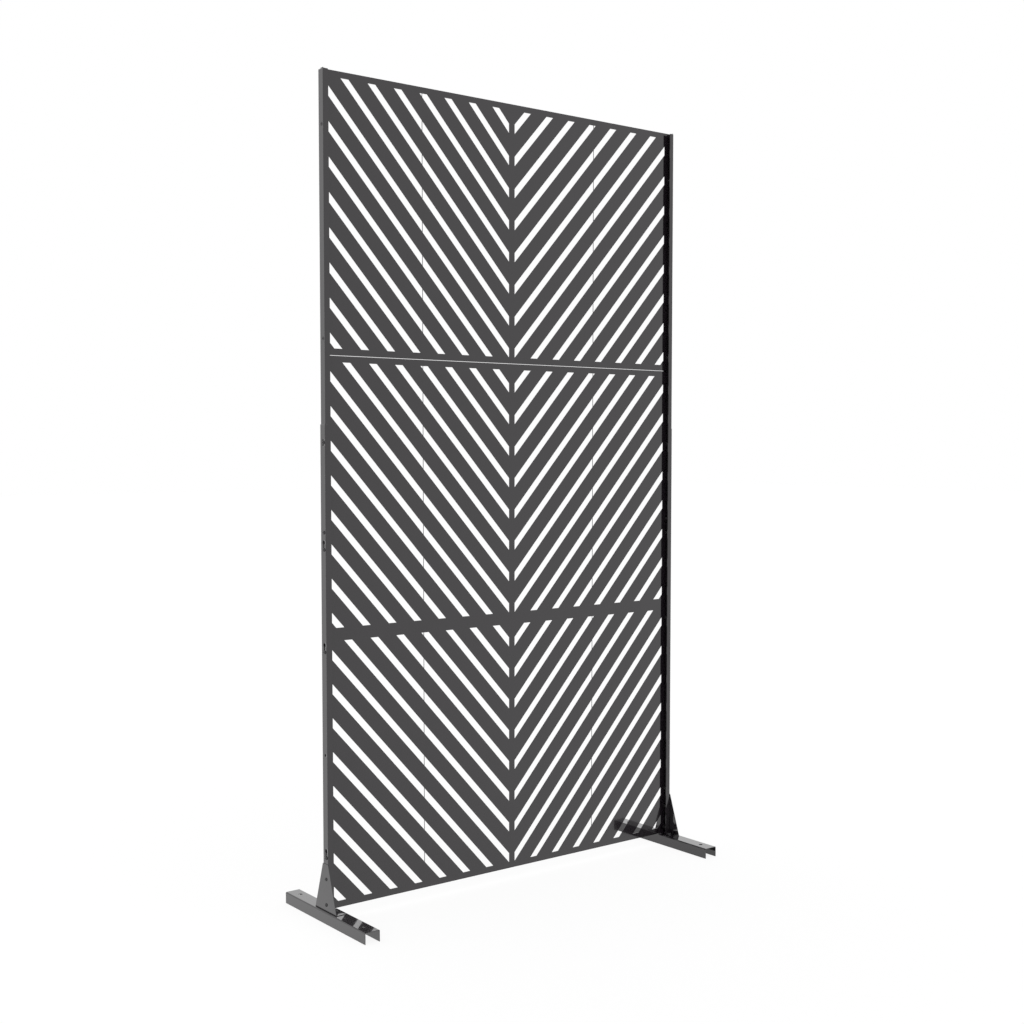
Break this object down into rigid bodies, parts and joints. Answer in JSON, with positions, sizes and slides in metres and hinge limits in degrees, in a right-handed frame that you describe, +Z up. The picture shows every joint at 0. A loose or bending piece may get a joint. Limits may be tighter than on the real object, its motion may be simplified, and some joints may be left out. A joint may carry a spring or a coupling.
{
  "type": "garden privacy screen",
  "caption": "Free-standing garden privacy screen: stacked sheet metal panels with slanted chevron slots between two channel posts on long inverted channel feet.",
  "frame": {"origin": "on the ground, in the middle of the screen's length and of its feet", "axes": "+X along the screen to its right end seen from the front, +Y to the back, +Z up"},
  "size_m": [1.102, 0.362, 1.9466],
  "materials": {
    "black_paint": "smooth glossy black powder coat",
    "black_screw": "blackened steel screws and bolts",
    "zinc_steel": "zinc plated nuts and washers"
  },
  "bodies": {
    "root": {"panel_bottom": "black_paint", "panel_middle": "black_paint", "panel_top": "black_paint", "post_left_lower": "black_paint", "post_left_upper": "black_paint", "bracket_left": "black_paint", "foot_left": "black_paint", "post_right_lower": "black_paint", "post_right_upper": "black_paint", "bracket_right": "black_paint", "foot_right": "black_paint", "bracket_screws_left": "black_screw", "bracket_nuts_left": "zinc_steel", "panel_screws_left": "black_screw", "panel_nuts_left": "zinc_steel", "joint_screws_left": "black_screw", "joint_nuts_left": "zinc_steel", "top_screws_left": "black_screw", "top_nuts_left": "zinc_steel", "spacer_washers_left": "zinc_steel", "base_bolts_left": "black_screw", "base_nuts_left": "zinc_steel", "bracket_screws_right": "black_screw", "bracket_nuts_right": "zinc_steel", "panel_screws_right": "black_screw", "panel_nuts_right": "zinc_steel", "joint_screws_right": "black_screw", "joint_nuts_right": "zinc_steel", "top_screws_right": "black_screw", "top_nuts_right": "zinc_steel", "spacer_washers_right": "zinc_steel", "base_bolts_right": "black_screw", "base_nuts_right": "zinc_steel"}
  },
  "joints": []
}
